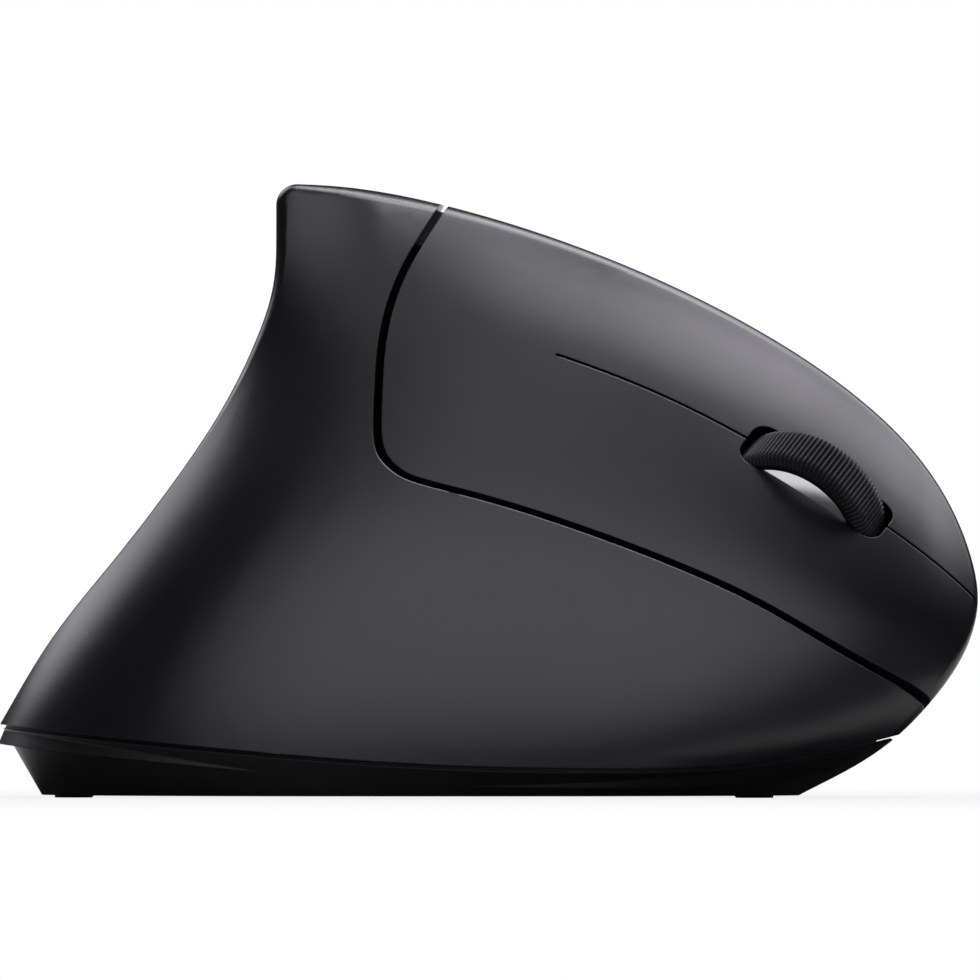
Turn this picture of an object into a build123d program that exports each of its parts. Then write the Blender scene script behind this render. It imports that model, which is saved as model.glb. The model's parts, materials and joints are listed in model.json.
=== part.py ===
from build123d import *
import math
import os

# Vertical ergonomic mouse, right hand, in millimetres.
# +X is the finger side, +Y the front, +Z up; the origin is under the middle of the body.

os.makedirs("parts", exist_ok=True)

# Whole body
body_length = 120.0
body_width = 63.0
body_height = 75.6
rim_radius = 1.8
corner_radius = 2.6

# Walls and gaps
shell_wall = 2.6
button_wall = 1.6
frame_wall = 1.4
ridge_solid = 3.0
half_width_floor = 0.8
tip_setback = 6.0
rear_slant = 1.15
finger_slant = 1.25
thumb_slant = 1.08
end_pull = 1.25
panel_gap = 0.95
slit_gap = 0.45
seam_gap = 0.45
lip_drop = 6.2
lip_gap = 1.1
nose_gap = 0.7
fit_gap = 0.1
tongue_inset = 1.0
ledge_shift = 0.8
ledge_drop = 0.9
palm_wrap = 9.0
seat_gap = 0.3
running_gap = 0.08
side_gap = 0.5

# finger panel
panel_depth = 25.0
panel_rise = 20.0
frame_margin = 5.0
flex_line = 35.8

# scroll wheel
wheel_radius = 10.6
wheel_depth = 6.5
tyre_width = 5.4
tyre_ring = 2.2
tyre_shoulder = 0.6
rib_height = 0.28
rib_count = 96
disc_radius = 9.6
disc_thickness = 0.6
axle_radius = 1.5
axle_reach_lower = 7.4
axle_reach_upper = 5.3
slot_length = 20.4
slot_width = 7.3
slot_corner = 2.2

# wheel carrier and button board
board_top = 15.4
board_thickness = 1.6
board_back = 20.0
board_front = 18.0
board_step = 2.6
board_low = 14.0
board_high = 12.6
board_nose_half = 9.0
arm_inner = 3.75
arm_thickness = 1.2
arm_ring = 3.0
pivot_setback = 14.0
pivot_radius = 1.2
pivot_lift = 3.0
pivot_reach = 7.4
bearing_length = 5.0
bearing_width = 2.2
bearing_height = 5.0
encoder_width = 2.4
encoder_size = 7.0
encoder_height = 7.6
encoder_rise = 2.0
tact_size = 5.0
tact_height = 3.4
tact_plunger_radius = 1.2
tact_plunger_height = 1.0
tact_centre = 14.8
carrier_nose = 16.8
carrier_bar = 2.4
switch_length = 12.8
switch_width = 5.8
switch_height = 6.5
switch_centre = 5.0
switch_side_low = 11.0
switch_side_high = 9.8
plunger_length = 2.6
plunger_width = 1.8
plunger_height = 0.7
plunger_shift = 2.4
pin_root = 1.5
pin_travel = 0.9
pin_gap = 0.15
actuator_radius = 1.4
actuator_hole = 2.4
board_post_radius = 1.9
board_post_back = 17.0
board_post_side = 10.0
board_post_front = 9.6
board_post_nose = 7.0
screw_radius = 0.9
screw_head_radius = 1.7
screw_head_height = 1.1
screw_length = 6.0
screw_clearance = 0.1

# base
foot_drop = 0.3
floor_thickness = 1.8
skirt_wall = 3.4
skirt_inset = 0.4
hull_top = 12.0
lip_height = 3.0
lip_root = 2.0

# battery bay
battery_radius = 5.25
battery_length = 44.5
battery_pitch = 11.5
battery_nub_radius = 1.9
battery_nub_length = 1.0
bay_rear = -46.8
bay_wall = 1.4
bay_roof = 1.2
bay_clearance = 0.3
spring_room = 3.2
contact_thickness = 0.4
contact_width = 8.0
contact_height = 8.4
spring_radius = 2.6
spring_wire = 0.5
spring_turns = 3
door_ledge = 1.2
door_gap = 0.3
door_grip = 0.6
door_grip_width = 1.0
door_grip_pitch = 2.0
door_grip_count = 5

# receiver
receiver_length = 18.6
receiver_width = 14.4
receiver_thickness = 6.4
receiver_plug_width = 12.0
receiver_plug_thickness = 4.5
receiver_head = 6.0
receiver_share = 0.277
receiver_x = receiver_share * body_width
receiver_y = -15.0
receiver_wall = 1.2
receiver_gap = 0.25
receiver_recess = 0.4
receiver_rounding = 0.8

# main board and sensor
main_board_bottom = 7.4
main_board_thickness = 1.6
main_board_rear = 6.0
main_board_front = 40.0
main_board_half = 16.0
board_corner = 2.0
boss_radius = 2.5
boss_x = 12.5
boss_rear_y = 9.5
boss_front_y = 36.6
sensor_y = 20.0
sensor_window_x = 8.0
sensor_window_y = 7.0
lens_x = 18.0
lens_y = 16.0
lens_plate = 1.4
lens_dome_radius = 2.4
lens_dome_drop = 0.9
sensor_x = 9.0
sensor_length = 10.0
sensor_height = 2.2
led_radius = 1.5
led_shift = 11.0
led_height = 3.2
chip_size = 7.0
chip_height = 1.0
chip_y = 30.0
crystal_length = 5.0
crystal_width = 2.4
crystal_height = 1.4
header_length = 8.0
header_width = 3.2
header_height = 3.0
header_y = 14.0
wire_radius = 0.55
wire_pitch = 1.5
wire_count = 4

# power switch
power_x = -11.0
power_y = 26.0
power_length = 8.6
power_width = 3.8
power_height = 3.4
knob_length = 3.4
knob_width = 2.4
knob_travel = 2.0
knob_recess = 0.5
knob_gap = 0.3

# glide feet
foot_pocket = 0.3
foot_width = 4.6
foot_front_length = 30.0
foot_rear_length = 19.0
foot_front_share = 0.271
foot_rear_share = -0.427
foot_front_y = foot_front_share * body_length
foot_rear_y = foot_rear_share * body_length

# thumb side
thumb_y = 1.0
thumb_z = 45.0
thumb_button_length = 15.0
thumb_button_width = 5.6
thumb_button_pitch = 16.4
thumb_button_proud = 0.9
thumb_button_gap = 0.35
thumb_button_edge = 0.5
flange_margin = 1.0
flange_thickness = 0.8
flange_depth = 4.4
stem_radius = 1.5
thumb_board_depth = 9.2
thumb_board_thickness = 1.4
thumb_board_half = 20.5
thumb_board_width = 9.0
thumb_tact_size = 6.0
thumb_tact_height = 2.4
thumb_tact_knob_height = 0.6
thumb_tact_knob_radius = 1.5
thumb_press_gap = 0.65
thumb_post_radius = 1.9
thumb_post_x = 18.2
thumb_screw_length = 4.4

# outline tables
# Each row is one loop round the body, from under the seam to over the crown:
# level, then shares of length, height and width, then how full the two ends are.
# (level, rear y, front y, front z, crown bulge, rear middle x, front middle x,
#  finger half width, thumb half width, rear fullness, front fullness)
loop_shares = (
    (-0.12, -0.553, 0.383, -0.053, 0.000, 0.016, 0.016, 0.492, 0.540, 2.2, 2.6),
    (0.00, -0.5325, 0.429, 0.020, 0.004, 0.008, 0.016, 0.495, 0.524, 2.2, 2.7),
    (0.12, -0.506, 0.467, 0.079, 0.013, 0.000, 0.016, 0.4905, 0.494, 2.2, 2.8),
    (0.28, -0.451, 0.504, 0.1455, 0.032, -0.016, 0.008, 0.4635, 0.4175, 2.2, 2.8),
    (0.45, -0.377, 0.529, 0.212, 0.061, -0.0555, 0.000, 0.4095, 0.3255, 2.2, 2.8),
    (0.62, -0.305, 0.544, 0.271, 0.0965, -0.111, -0.016, 0.3175, 0.238, 2.2, 2.7),
    (0.78, -0.262, 0.5525, 0.324, 0.136, -0.162, -0.032, 0.200, 0.162, 2.2, 2.6),
    (0.90, -0.258, 0.557, 0.361, 0.1665, -0.194, -0.0475, 0.108, 0.1015, 2.3, 2.6),
    (1.00, -0.268, 0.558, 0.390, 0.192, -0.2095, -0.0635, 0.057, 0.057, 2.4, 2.6),
    (1.10, -0.270, 0.560, 0.4365, 0.214, -0.213, -0.0635, 0.041, 0.041, 2.4, 2.6),
    (1.24, -0.270, 0.562, 0.582, 0.1455, -0.213, -0.0635, 0.035, 0.035, 2.4, 2.6),
    (1.42, -0.270, 0.562, 0.794, 0.000, -0.213, -0.0635, 0.035, 0.035, 2.4, 2.6),
)
loop_levels = (-0.12, 0.0, 0.12, 0.24, 0.36, 0.48, 0.60, 0.71, 0.81, 0.905, 1.0, 1.1, 1.24, 1.42)
crown_skew = 0.2
loop_steps = 14

# side views as (y share of length, z share of height)
rear_shares = (
    (-0.5625, -0.040),
    (-0.500, 0.126),
    (-0.451, 0.255),
    (-0.386, 0.386),
    (-0.323, 0.517),
    (-0.270, 0.647),
    (-0.2325, 0.778),
    (-0.220, 0.900),
)
crown_shares = (
    (-0.267, 1.000),
    (-0.203, 1.000),
    (-0.143, 0.994),
    (-0.052, 0.967),
    (0.113, 0.8835),
    (0.267, 0.7685),
    (0.370, 0.661),
    (0.442, 0.550),
    (0.480, 0.450),
    (0.493, 0.393),
    (0.500, 0.3215),
    (0.491, 0.255),
    (0.4525, 0.159),
    (0.383, 0.061),
    (0.322, 0.009),
    (0.267, -0.040),
)
seam_shares = (
    (-0.560, 0.130),
    (-0.431, 0.106),
    (-0.247, 0.077),
    (-0.062, 0.0555),
    (0.123, 0.049),
    (0.247, 0.054),
    (0.325, 0.070),
    (0.408, 0.099),
    (0.500, 0.140),
)
gap_shares = (
    (-0.052, 0.954),
    (-0.089, 0.856),
    (-0.111, 0.735),
    (-0.1145, 0.650),
    (-0.115, 0.590),
    (-0.1105, 0.559),
    (-0.1015, 0.541),
    (-0.0885, 0.526),
    (-0.065, 0.5125),
    (-0.020, 0.494),
    (0.113, 0.427),
    (0.2775, 0.316),
    (0.400, 0.205),
    (0.442, 0.164),
)
slit_shares = (
    (0.045, 0.7335),
    (0.182, 0.651),
    (0.336, 0.516),
    (0.470, 0.364),
)
wheel_share = (0.336, 0.516)
wheel_slope = 33.0
base_shares = (-0.460, 0.333, 0.008, 0.016, 0.470, 0.478, 2.2, 2.7)
ridge_ramp_shares = (0.333, 0.667)
seam_top_share = 0.3
seam_tries = 30


# curves and loops
def smooth(t, xs, ys):
    gaps = [b - a for a, b in zip(xs, xs[1:])]
    rates = [(b - a) / g for a, b, g in zip(ys, ys[1:], gaps)]
    slopes = [0.0] * len(xs)
    for k in range(1, len(xs) - 1):
        slopes[k] = (rates[k - 1] * gaps[k] + rates[k] * gaps[k - 1]) / (gaps[k - 1] + gaps[k])
    slopes[0] = 2 * rates[0] - slopes[1]
    slopes[-1] = 2 * rates[-1] - slopes[-2]
    k = max(0, min(len(gaps) - 1, sum(1 for x in xs if x < t) - 1))
    s = (t - xs[k]) / gaps[k]
    start = (1 + 2 * s) * (1 - s) ** 2 * ys[k] + s * (1 - s) ** 2 * gaps[k] * slopes[k]
    end = s * s * (3 - 2 * s) * ys[k + 1] + s * s * (s - 1) * gaps[k] * slopes[k + 1]
    return start + end


def row_at(level):
    levels = [row[0] for row in loop_shares]
    return [smooth(level, levels, [row[k] for row in loop_shares]) for k in range(1, 11)]


def round_the_loop(angle, rear_fullness, front_fullness):
    c = math.cos(angle)
    s = math.sin(angle)
    fullness = rear_fullness + (front_fullness - rear_fullness) * (1 - c) / 2
    along = (1 + math.copysign(abs(c) ** (2 / fullness), -c)) / 2
    across = math.copysign(abs(s) ** (2 / fullness), s)
    return along, across


def body_point(angle, level, inset):
    rear, front, nose, bulge, rear_mid, front_mid, finger, thumb, rear_full, front_full = row_at(level)
    along, across = round_the_loop(angle, rear_full, front_full)
    y_rear = rear * body_length
    y_front = front * body_length - inset
    x_finger = finger * body_width
    x_thumb = thumb * body_width
    if inset > 0:
        y_rear += rear_slant * inset + tip_setback * max(level, 0) ** 2
        x_finger = max(x_finger - finger_slant * inset, half_width_floor)
        x_thumb = max(x_thumb - thumb_slant * inset, half_width_floor)
    x_mid = (rear_mid + (front_mid - rear_mid) * along) * body_width
    arch = 4 * along * (1 - along) * (1 + crown_skew * (2 * along - 1))
    y = y_rear + (y_front - y_rear) * along
    z = (level + (nose - level) * along + bulge * arch) * body_height
    x = x_mid + across * (x_finger if across > 0 else x_thumb)
    return Vector(x, y, z)


def half_loop(points):
    first = end_pull * (points[1].X - points[0].X)
    last = end_pull * (points[-1].X - points[-2].X)
    steps = [float(k) for k in range(len(points))]
    return Edge.make_spline(
        points, tangents=[Vector(first, 0, 0), Vector(last, 0, 0)], parameters=steps, scale=False
    )


def loop_wire(place):
    finger = [place(math.pi * k / loop_steps) for k in range(loop_steps + 1)]
    thumb = [place(math.pi + math.pi * k / loop_steps) for k in range(loop_steps + 1)]
    return Wire([half_loop(finger), half_loop(thumb)])


def column(inset):
    def loop(level):
        return loop_wire(lambda angle: body_point(angle, level, inset))

    return Solid.make_loft([loop(level) for level in loop_levels])


def largest(shape):
    return max(shape.solids(), key=lambda solid: solid.volume)


def side_points(shares):
    return [(y * body_length, z * body_height) for y, z in shares]


def shifted(points, distance, extra=0):
    moved = []
    low, high = ridge_ramp_shares
    for k, (a, b) in enumerate(points):
        before = points[max(k - 1, 0)]
        after = points[min(k + 1, len(points) - 1)]
        run = (after[0] - before[0], after[1] - before[1])
        size = math.hypot(*run)
        height = min(1, max(0, (b / body_height - low) / (high - low)))
        step = distance + extra * height
        moved.append((a + step * run[1] / size, b - step * run[0] / size))
    return moved


def across_body(curve, corners):
    path = [curve @ 1] + [Vector(0, y, z) for y, z in corners] + [curve @ 0]
    wire = Wire([curve] + [Edge.make_line(a, b) for a, b in zip(path, path[1:])])
    face = Face(wire)
    wide = Solid.extrude(face, Vector(2 * body_width, 0, 0))
    return wide.moved(Location((-body_width, 0, 0)))


def rear_prism(inset):
    points = [Vector(0, y, z) for y, z in shifted(side_points(rear_shares), inset)]
    ends = [points[1] - points[0], Vector(0, 0, 1)]
    curve = Edge.make_spline(points, tangents=ends)
    top = 2 * body_height
    corners = [(points[-1].Y, top), (body_length, top), (body_length, points[0].Z)]
    return across_body(curve, corners)


def under_crown(points):
    places = [Vector(0, y, z) for y, z in points]
    curve = Edge.make_spline(places, tangents=[Vector(0, 1, 0), places[-1] - places[-2]])
    low = -body_height
    corners = [(0, low), (-body_length, low), (-body_length, places[0].Z)]
    return across_body(curve, corners)


def crown_prism(inset, ridge=0):
    return under_crown(shifted(side_points(crown_shares), inset, ridge))


def crown_dropped(drop):
    return under_crown([(y, z - drop) for y, z in side_points(crown_shares)])


def under_seam(lift):
    points = [Vector(0, y, z + lift) for y, z in side_points(seam_shares)]
    curve = Edge.make_spline(points)
    far = body_length
    corners = [(far, points[-1].Z), (far, -far), (-far, -far), (-far, points[0].Z)]
    return across_body(curve, corners)


def rim_edges(body):
    sides = [f for f in body.faces() if f.geom_type == GeomType.BSPLINE]
    rims = [f for f in body.faces() if f not in sides and f.center().Z > 0]
    return [
        e
        for e in body.edges()
        if any(e.is_same(x) for f in sides for x in f.edges())
        and any(e.is_same(x) for f in rims for x in f.edges())
    ]


def whole_body():
    silhouette = largest(rear_prism(0) & crown_prism(0))
    body = largest(column(0) & silhouette)
    corner = [
        e
        for e in body.edges()
        if e.center().Z > body_height - rim_radius and e.bounding_box().size.Y < rim_radius / 4
    ]
    body = body.fillet(corner_radius, corner)
    return body.fillet(rim_radius, rim_edges(body))


def inner_body(inset):
    return largest(column(inset) & crown_prism(inset, ridge_solid))


body = whole_body()
upper_body = largest(body - under_seam(0))
inside_button = inner_body(button_wall)
inside_shell = inner_body(shell_wall)
inside_frame = inner_body(shell_wall + frame_wall)
inside_lip = inner_body(shell_wall + fit_gap)
inside_tongue = inner_body(tongue_inset)
full_column = column(0)


# places on the two sides
def surface_hit(y, z, side):
    start = (side * 2 * body_width, y, z)
    hits = full_column.find_intersection_points(Axis(start, (-side, 0, 0)))
    return max(hits, key=lambda hit: side * hit[0].X)


def finger_frame():
    y = wheel_share[0] * body_length
    z = wheel_share[1] * body_height
    place, out = surface_hit(y, z, 1)
    slope = math.radians(wheel_slope)
    run = Vector(0, math.cos(slope), -math.sin(slope))
    forward = Vector(-run.dot(out) / out.X, run.Y, run.Z).normalized()
    return Plane(origin=place, x_dir=forward, z_dir=out)


def thumb_frame():
    place, out = surface_hit(thumb_y, thumb_z, -1)
    forward = Vector(-out.Y / out.X, 1, 0).normalized()
    return Plane(origin=place, x_dir=forward, z_dir=out)


finger_plane = finger_frame()
thumb_plane = thumb_frame()


def carried(shares):
    places = [surface_hit(y, z, 1)[0] for y, z in side_points(shares)]
    flat = [finger_plane.to_local_coords(p) for p in places]
    return [(p.X, p.Y) for p in flat]


def lengthened(points, extra):
    (ax, ay), (bx, by) = points[0], points[1]
    (cx, cy), (dx, dy) = points[-2], points[-1]
    head = math.hypot(ax - bx, ay - by)
    tail = math.hypot(dx - cx, dy - cy)
    start = (ax + (ax - bx) * extra / head, ay + (ay - by) * extra / head)
    end = (dx + (dx - cx) * extra / tail, dy + (dy - cy) * extra / tail)
    return [start] + list(points) + [end]


# small solids
def block(x0, x1, y0, y1, z0, z1):
    return Solid.make_box(x1 - x0, y1 - y0, z1 - z0).moved(Location((x0, y0, z0)))


def block_at(x, y, length, width, z0, z1):
    return block(x - length / 2, x + length / 2, y - width / 2, y + width / 2, z0, z1)


def rod(radius, start, end):
    axis = Vector(*end) - Vector(*start)
    return Solid.make_cylinder(radius, axis.length, Plane(origin=start, z_dir=axis))


def stadium(length, width, z0, z1):
    core = block(-(length - width) / 2, (length - width) / 2, -width / 2, width / 2, z0, z1)
    ends = [rod(width / 2, (x, 0, z0), (x, 0, z1)) for x in (-(length - width) / 2, (length - width) / 2)]
    return largest(core + ends[0] + ends[1])


def rounded_block(length, width, z0, z1, radius):
    shape = block(-length / 2, length / 2, -width / 2, width / 2, z0, z1)
    return shape.fillet(radius, shape.edges().filter_by(Axis.Z))


def at_finger(shape):
    return shape.moved(finger_plane.location)


def at_thumb(shape):
    return shape.moved(thumb_plane.location)


def screw(x, y, head_z, tip_z):
    turn = 1 if head_z > tip_z else -1
    shank = rod(screw_radius, (x, y, head_z), (x, y, tip_z))
    head = rod(screw_head_radius, (x, y, head_z), (x, y, head_z + turn * screw_head_height))
    top_z = head_z + turn * screw_head_height
    drive = rod(screw_radius, (x, y, (head_z + top_z) / 2), (x, y, top_z))
    return largest(shank + head - drive)


# zones of the skin
def panel_prism(grow, z_low):
    line = lengthened(carried(gap_shares), panel_rise)
    line = shifted(line, grow)
    curve = Edge.make_spline([Vector(x, y, z_low) for x, y in line])
    reach = body_length
    path = [curve @ 1, Vector(reach, (curve @ 1).Y, z_low), Vector(reach, reach, z_low)]
    path += [Vector((curve @ 0).X, reach, z_low), curve @ 0]
    wire = Wire([curve] + [Edge.make_line(a, b) for a, b in zip(path, path[1:])])
    return at_finger(Solid.extrude(Face(wire), Vector(0, 0, panel_rise - z_low)))


def ridge_side(shift):
    rear_mid = loop_shares[-1][5] * body_width
    front_mid = loop_shares[-1][6] * body_width
    rear = loop_shares[-1][1] * body_length
    front = loop_shares[-1][2] * body_length
    slope = (front_mid - rear_mid) / (front - rear)
    far = body_length
    low = rear_mid - slope * (far + rear) + shift
    high = rear_mid + slope * (far - rear) + shift
    corners = [(low, -far, -far), (high, far, -far), (-far, far, -far), (-far, -far, -far)]
    return Solid.extrude(Face(Wire.make_polygon(corners)), Vector(0, 0, 2 * far))


# The thumb shell holds the thumb side of the ridge, under the crest and ahead of the palm.
def thumb_zone(gap):
    side = largest(crown_dropped(lip_drop - gap) & rear_prism(palm_wrap - gap))
    return largest(side & ridge_side(gap))


def slot_prism(margin):
    length = slot_length + 2 * margin
    return at_finger(rounded_block(length, slot_width + 2 * margin, -panel_depth, panel_rise, slot_corner))


def slit_prism():
    line = lengthened(carried(slit_shares), panel_rise)
    left = shifted(line, -slit_gap / 2)
    right = shifted(line, slit_gap / 2)
    low = -panel_depth
    one = Edge.make_spline([Vector(x, y, low) for x, y in left])
    two = Edge.make_spline([Vector(x, y, low) for x, y in right])
    wire = Wire([one, two, Edge.make_line(one @ 0, two @ 0), Edge.make_line(one @ 1, two @ 1)])
    return at_finger(Solid.extrude(Face(wire), Vector(0, 0, panel_rise - low)))


def ahead_of_flex(side):
    far = body_length
    if side > 0:
        return at_finger(block(-flex_line, far, -far, far, -far, far))
    return at_finger(block(-far, -flex_line, -far, far, -far, far))


thumb_part = thumb_zone(0)
thumb_clear = thumb_zone(lip_gap).moved(Location((0, nose_gap, 0)))
shell_skin = largest(upper_body - inside_shell)


# thumb side pieces
def thumb_button_x(side):
    return side * thumb_button_pitch / 2


def thumb_opening(side):
    length = thumb_button_length + 2 * thumb_button_gap
    width = thumb_button_width + 2 * thumb_button_gap
    hole = stadium(length, width, -flange_depth, panel_rise)
    return at_thumb(hole.moved(Location((thumb_button_x(side), 0, 0))))


def thumb_button(side):
    cap = stadium(thumb_button_length, thumb_button_width, -flange_depth, thumb_button_proud)
    top = [e for e in cap.edges() if e.center().Z > thumb_button_proud - thumb_button_edge]
    cap = cap.fillet(thumb_button_edge, top)
    length = thumb_button_length - stem_radius
    width = thumb_button_width + 2 * flange_margin
    flange = stadium(length, width, -flange_depth - flange_thickness, -flange_depth)
    reach = thumb_board_depth - thumb_tact_height - thumb_tact_knob_height - thumb_press_gap
    stem = rod(stem_radius, (0, 0, -flange_depth), (0, 0, -reach))
    shape = largest(cap + flange + stem)
    return at_thumb(shape.moved(Location((thumb_button_x(side), 0, 0))))


def thumb_post(side):
    x = side * thumb_post_x
    return at_thumb(rod(thumb_post_radius, (x, 0, -thumb_board_depth), (x, 0, panel_rise))) & inside_shell


def thumb_screw_hole(side):
    x = side * thumb_post_x
    low = -thumb_board_depth - thumb_board_thickness
    return at_thumb(rod(screw_radius + screw_clearance, (x, 0, low), (x, 0, low + thumb_screw_length)))


def thumb_shell():
    shape = largest(shell_skin & thumb_part)
    for side in (-1, 1):
        shape = shape - thumb_opening(side)
    for side in (-1, 1):
        shape = shape + thumb_post(side) - thumb_screw_hole(side)
    return largest(shape)


def thumb_board():
    low = -thumb_board_depth - thumb_board_thickness
    half = thumb_board_width / 2
    board = at_thumb(block(-thumb_board_half, thumb_board_half, -half, half, low, -thumb_board_depth))
    return largest(board - thumb_screw_hole(-1) - thumb_screw_hole(1))


def thumb_switch(side):
    x = thumb_button_x(side)
    top = -thumb_board_depth + thumb_tact_height
    case = block_at(x, 0, thumb_tact_size, thumb_tact_size, -thumb_board_depth, top)
    knob = rod(thumb_tact_knob_radius, (x, 0, top), (x, 0, top + thumb_tact_knob_height))
    return at_thumb(largest(case + knob))


def thumb_screws():
    under = -thumb_board_depth - thumb_board_thickness
    pair = [screw(side * thumb_post_x, 0, under, under + thumb_screw_length) for side in (-1, 1)]
    return Compound([at_thumb(s) for s in pair])


# palm and finger skins
# A ledge of the palm shell stands behind the gap where it crosses the crown.
def crown_ledge():
    zone = shell_skin & ridge_side(ledge_shift) & ahead_of_flex(-1)
    band = largest(zone) & crown_dropped(ledge_drop)
    strip = largest(band - thumb_part) & panel_prism(panel_gap / 2, -panel_depth)
    return largest(strip) - panel_prism(-panel_gap / 2, -panel_depth)


def palm_shell():
    shell = largest(shell_skin - thumb_part - panel_prism(panel_gap / 2, -panel_depth))
    return largest(shell + crown_ledge())


def button_plate():
    field = panel_prism(-panel_gap / 2, -panel_depth)
    plate = largest(shell_skin & field & ahead_of_flex(-1))
    return largest(plate - thumb_clear)


def switch_y(side):
    return switch_side_high if side > 0 else -switch_side_low


def actuator(side):
    x = -switch_centre + plunger_shift
    low = -board_top + switch_height + plunger_height + seat_gap
    post = at_finger(rod(actuator_radius, (x, switch_y(side), low), (x, switch_y(side), panel_rise)))
    return post & inside_button


def finger_buttons():
    field = panel_prism(-panel_gap / 2, -panel_depth)
    skin = largest(upper_body & field & ahead_of_flex(1)) - inside_button
    pair = largest(skin) - thumb_clear - slit_prism() - slot_prism(0)
    low, high = sorted(
        sorted(pair.solids(), key=lambda s: -s.volume)[:2],
        key=lambda s: finger_plane.to_local_coords(s.center()).Y,
    )
    return largest(high + actuator(1)), largest(low + actuator(-1))


def board_posts():
    places = [(-board_post_back, -board_post_side), (-board_post_back, board_post_side)]
    places += [(board_post_front, -board_post_nose), (board_post_front, board_post_nose)]
    return places


def button_frame():
    skin = largest((inside_shell - inside_frame) & panel_prism(frame_margin, -panel_depth))
    arm_room = arm_inner + arm_thickness + side_gap - slot_width / 2
    skin = skin - ridge_side(-half_width_floor) - slot_prism(arm_room)
    skin = skin - under_seam(lip_height + seat_gap)
    for side in (-1, 1):
        place = (-switch_centre + plunger_shift, switch_y(side))
        skin = skin - at_finger(rod(actuator_hole, (*place, -board_top), (*place, panel_rise)))
    skin = largest(skin)
    for x, y in board_posts():
        post = at_finger(rod(board_post_radius, (x, y, -board_top), (x, y, panel_rise)))
        skin = skin + (post & inside_shell)
    for x, y in board_posts():
        skin = skin - at_finger(
            rod(screw_radius + screw_clearance, (x, y, -board_top), (x, y, -board_top + screw_length))
        )
    return largest(skin)


# wheel
def rib_ring(drop, half):
    steps = 4 * rib_count
    points = []
    for k in range(steps):
        radius = wheel_radius - drop - (rib_height if k % 4 in (2, 3) else 0)
        angle = 2 * math.pi * k / steps
        points.append(Vector(radius * math.cos(angle), -half, radius * math.sin(angle)))
    return Solid.extrude(Face(Wire.make_polygon(points)), Vector(0, 2 * half, 0))


def wheel_tyre():
    half = tyre_width / 2
    outer = rib_ring(0, half - tyre_shoulder) + rib_ring(tyre_shoulder, half)
    bore = rod(wheel_radius - tyre_ring, (0, -tyre_width, 0), (0, tyre_width, 0))
    return at_wheel(largest(outer - bore))


def at_wheel(shape):
    return at_finger(shape.moved(Location((0, 0, -wheel_depth))))


def wheel_hub():
    radius = wheel_radius - tyre_ring
    core = rod(radius, (0, -tyre_width / 2, 0), (0, tyre_width / 2, 0))
    return at_wheel(core - rod(axle_radius, (0, -tyre_width, 0), (0, tyre_width, 0)))


def wheel_disc(side):
    near = side * tyre_width / 2
    far = near + side * disc_thickness
    disc = rod(disc_radius, (0, near, 0), (0, far, 0))
    edge = [e for e in disc.edges() if side * (e.center().Y - near) > disc_thickness / 2]
    disc = disc.chamfer(disc_thickness / 2, None, edge)
    return at_wheel(largest(disc - rod(axle_radius, (0, -tyre_width, 0), (0, tyre_width, 0))))


def wheel_axle():
    return at_wheel(rod(axle_radius, (0, -axle_reach_lower, 0), (0, axle_reach_upper, 0)))


def carrier_arm(side):
    near = side * arm_inner
    far = side * (arm_inner + arm_thickness)
    y0, y1 = min(near, far), max(near, far)
    pivot_z = -board_top + pivot_lift
    beam = block(-pivot_setback, carrier_nose, y0, y1, pivot_z - carrier_bar / 2, pivot_z + carrier_bar / 2)
    riser = block(-arm_ring, arm_ring, y0, y1, pivot_z, -wheel_depth)
    ring = rod(arm_ring, (0, y0, -wheel_depth), (0, y1, -wheel_depth))
    tail = rod(carrier_bar / 2, (-pivot_setback, y0, pivot_z), (-pivot_setback, y1, pivot_z))
    bore_ends = [(0, y, -wheel_depth) for y in (y0 - side_gap, y1 + side_gap)]
    return largest(beam + riser + ring + tail) - rod(axle_radius + running_gap, *bore_ends)


def wheel_carrier():
    pivot_z = -board_top + pivot_lift
    half = arm_inner + arm_thickness
    pin = rod(pivot_radius, (-pivot_setback, -pivot_reach, pivot_z), (-pivot_setback, pivot_reach, pivot_z))
    low = -board_top + tact_height + tact_plunger_height + seat_gap
    nose = block(carrier_nose - 2 * carrier_bar, carrier_nose, -half, half, low, low + carrier_bar / 2)
    return at_finger(largest(carrier_arm(-1) + carrier_arm(1) + pin + nose))


def scroll_encoder():
    near = -arm_inner - arm_thickness
    case = block(
        -encoder_size / 2, encoder_size / 2, near - encoder_width, near,
        -wheel_depth - encoder_height / 2, -wheel_depth + encoder_rise,
    )
    bore = rod(axle_radius + running_gap, (0, near - encoder_height, -wheel_depth), (0, near, -wheel_depth))
    return at_finger(largest(case - bore))


def pivot_bearing(side):
    near = arm_inner + arm_thickness + side_gap
    y0, y1 = sorted((side * near, side * (near + bearing_width)))
    x0 = -pivot_setback - bearing_length / 2
    body_block = block(x0, x0 + bearing_length, y0, y1, -board_top, -board_top + bearing_height)
    pivot_z = -board_top + pivot_lift
    bore = rod(pivot_radius + running_gap, (-pivot_setback, y0, pivot_z), (-pivot_setback, y1, pivot_z))
    return at_finger(largest(body_block - bore))


def wheel_switch():
    top = -board_top + tact_height
    low = top - pin_root - pin_travel
    case = block_at(tact_centre, 0, tact_size, tact_size, -board_top, top)
    well = rod(tact_plunger_radius + pin_gap, (tact_centre, 0, low), (tact_centre, 0, top))
    return at_finger(largest(case - well))


def wheel_plunger():
    low = -board_top + tact_height
    top = low + tact_plunger_height
    return at_finger(rod(tact_plunger_radius, (tact_centre, 0, low - pin_root), (tact_centre, 0, top)))


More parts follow.
